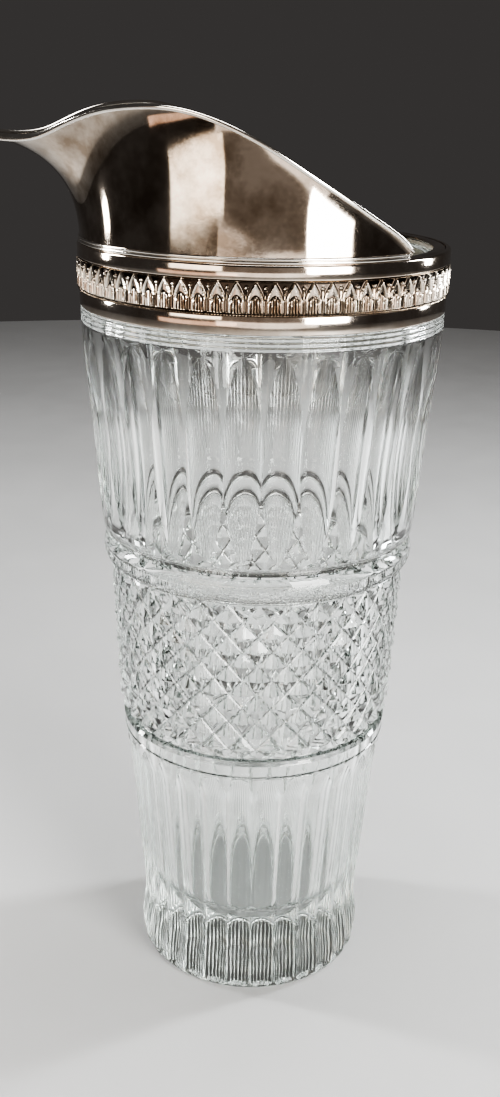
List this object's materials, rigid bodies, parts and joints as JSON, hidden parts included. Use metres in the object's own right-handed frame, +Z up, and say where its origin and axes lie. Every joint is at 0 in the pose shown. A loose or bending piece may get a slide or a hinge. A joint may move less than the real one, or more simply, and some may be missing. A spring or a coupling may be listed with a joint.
{
  "type": "mixing glass",
  "caption": "Tall cut-crystal mixing glass with a metal collar, a leaf frieze and a broad hooded pouring spout; thick solid base, open top.",
  "frame": {"origin": "centre of the foot's underside, on the glass's axis", "axes": "+Z up along the glass's axis, -X towards the tip of the pouring spout, +Y across"},
  "size_m": [0.1237, 0.0974, 0.2468],
  "materials": {
    "crystal": "polished",
    "silver_plate": "polished, lightly tarnished",
    "plaster": "matte"
  },
  "bodies": {
    "root": {"glass_body": "crystal", "plaster_bed": "plaster", "collar_sleeve": "silver_plate", "lower_band": "silver_plate", "leaf_frieze": "silver_plate", "upper_band": "silver_plate", "neck_moulding": "silver_plate", "spout_hood": "silver_plate", "hood_rim_wire": "silver_plate"}
  },
  "joints": []
}
